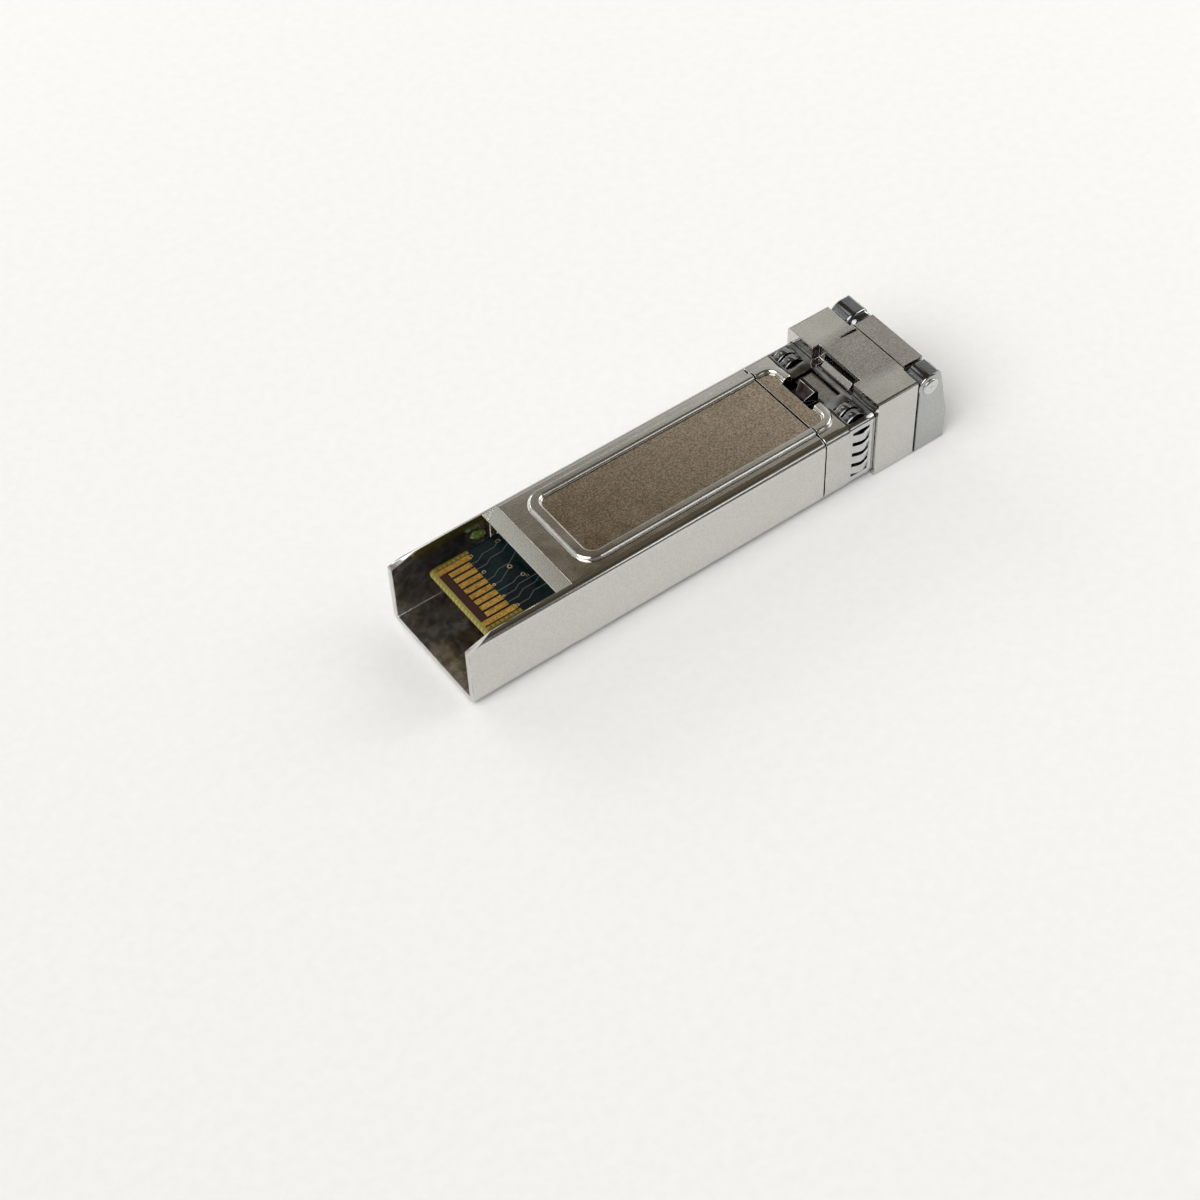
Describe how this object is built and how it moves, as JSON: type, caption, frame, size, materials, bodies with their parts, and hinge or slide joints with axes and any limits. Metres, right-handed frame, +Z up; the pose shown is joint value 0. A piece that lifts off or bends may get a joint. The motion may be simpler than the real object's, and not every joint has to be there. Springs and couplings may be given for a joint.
{
  "type": "sfp plus transceiver",
  "caption": "Pluggable optical transceiver module with a plated shell, edge connector tongue, spring finger collar, duplex fibre ports and a hinged release bail.",
  "frame": {"origin": "middle of the module's footprint, on the surface that it lies on", "axes": "+X along the module from the edge connector to the fibre ports, +Z up out of the latch side, which faces the host board in use"},
  "size_m": [0.0564, 0.0142, 0.0098],
  "materials": {
    "plated_shell": "bright nickel plate",
    "plated_casting": "bright nickel plate",
    "plated_bail": "bright nickel plate",
    "spring_steel": "bright rolled sheet",
    "lever_steel": "bright plated",
    "pin_steel": "ground",
    "barrel_steel": "turned",
    "can_metal": "gold flashed",
    "board_laminate": "solder mask",
    "contact_gold": "hard gold",
    "zirconia": "polished",
    "polyimide": "film",
    "elastomer": "matt",
    "chip_epoxy": "moulded",
    "pad_silicone": "soft",
    "capacitor_ceramic": "fired",
    "resistor_ceramic": "fired"
  },
  "bodies": {
    "module": {"rear_shell": "plated_shell", "nose_housing": "plated_casting", "emi_collar": "spring_steel", "latch_pivot_pin": "pin_steel", "latch_spring": "spring_steel", "circuit_board": "board_laminate", "upper_contacts": "contact_gold", "lower_contacts": "contact_gold", "tosa_barrel": "barrel_steel", "rosa_barrel": "barrel_steel", "tosa_sleeve": "zirconia", "rosa_sleeve": "zirconia", "tosa_can": "can_metal", "rosa_can": "can_metal", "tosa_flex": "polyimide", "rosa_flex": "polyimide", "nozzle_gasket": "elastomer", "barrel_retainer": "pin_steel", "laser_driver_chip": "chip_epoxy", "receiver_amplifier_chip": "chip_epoxy", "microcontroller_chip": "chip_epoxy", "thermal_pad": "pad_silicone", "chip_capacitors": "capacitor_ceramic", "chip_resistors": "resistor_ceramic"},
    "bail": {"bail": "plated_bail", "cam_shaft": "pin_steel", "cam_bush": "pin_steel"},
    "latch_lever": {"latch_lever": "lever_steel"}
  },
  "joints": [
    {"name": "bail_hinge", "type": "hinge", "parent": "module", "child": "bail", "pos_m": [0.02575, 0, 0.00835], "axis": [0, -1, 0], "range_deg": [0, 90]},
    {"name": "latch_rock", "type": "hinge", "parent": "module", "child": "latch_lever", "pos_m": [0.02135, 0, 0.0079], "axis": [0, -1, 0], "range_deg": [0, 6], "deforming": ["latch_spring"]}
  ],
  "couplings": [
    {"joint": "latch_rock", "follows": "bail_hinge", "ratio": 0.0666}
  ]
}
